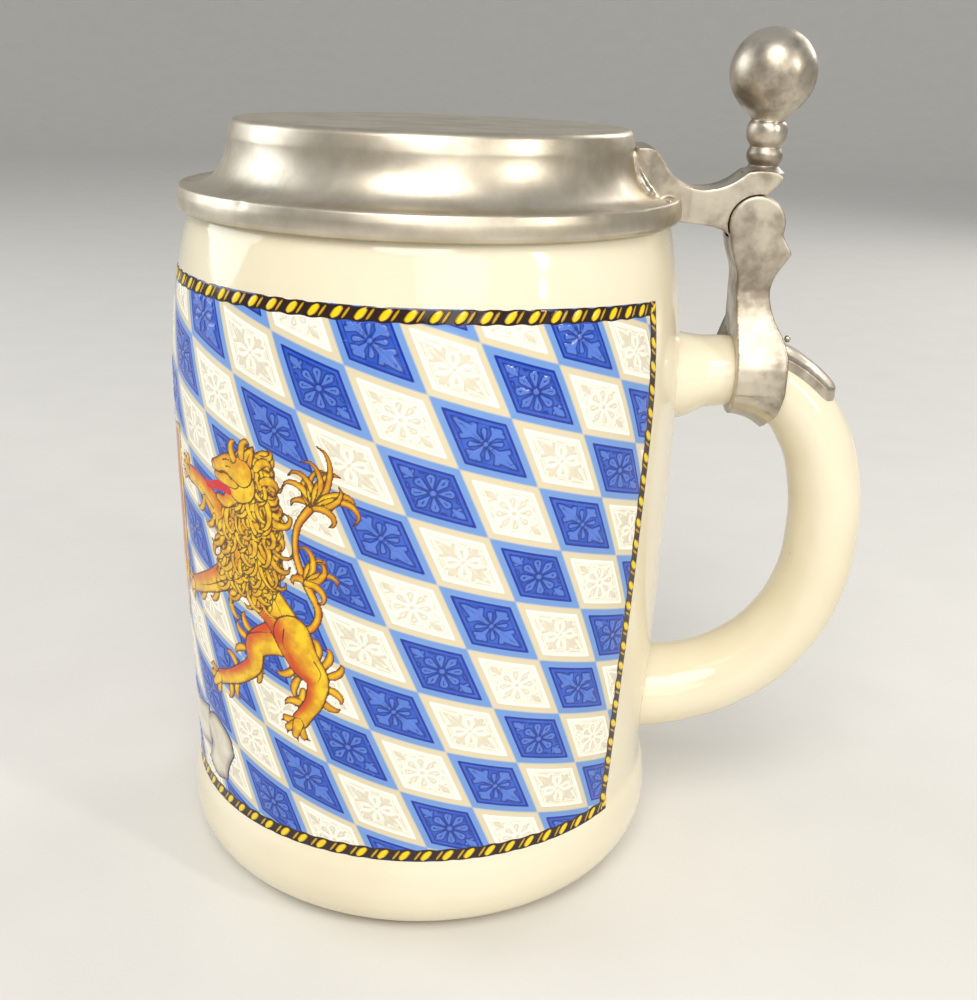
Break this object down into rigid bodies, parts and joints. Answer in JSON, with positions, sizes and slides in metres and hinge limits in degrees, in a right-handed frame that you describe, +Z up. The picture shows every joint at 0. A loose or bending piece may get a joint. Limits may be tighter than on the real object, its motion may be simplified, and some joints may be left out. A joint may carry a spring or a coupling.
{
  "type": "beer stein",
  "caption": "Half-litre glazed stoneware beer stein with a handle, a lozenge transfer panel and a hinged pewter lid with a ball thumb lift.",
  "frame": {"origin": "middle of the flat underside, on the vessel's axis", "axes": "+Z up, +X towards the handle, +Y completes the right-handed frame along the hinge pin"},
  "size_m": [0.1317, 0.0942, 0.1573],
  "materials": {
    "ivory_glaze": "glossy ivory salt glaze",
    "transfer": "glossy embossed blue and white ceramic transfer",
    "pewter": "satin cast pewter",
    "pin_steel": "drawn steel"
  },
  "bodies": {
    "stein": {"vessel": "ivory_glaze", "handle": "ivory_glaze", "transfer_panel": "transfer", "handle_mount": "pewter", "hinge_pin": "pin_steel", "pin_plug_left": "pewter", "pin_plug_right": "pewter"},
    "lid_assembly": {"lid": "pewter", "lid_arm": "pewter", "thumb_lift": "pewter"}
  },
  "joints": [
    {"name": "lid_hinge", "type": "hinge", "parent": "stein", "child": "lid_assembly", "pos_m": [0.0581, 0, 0.1245], "axis": [0, 1, 0], "range_deg": [0, 95]}
  ]
}
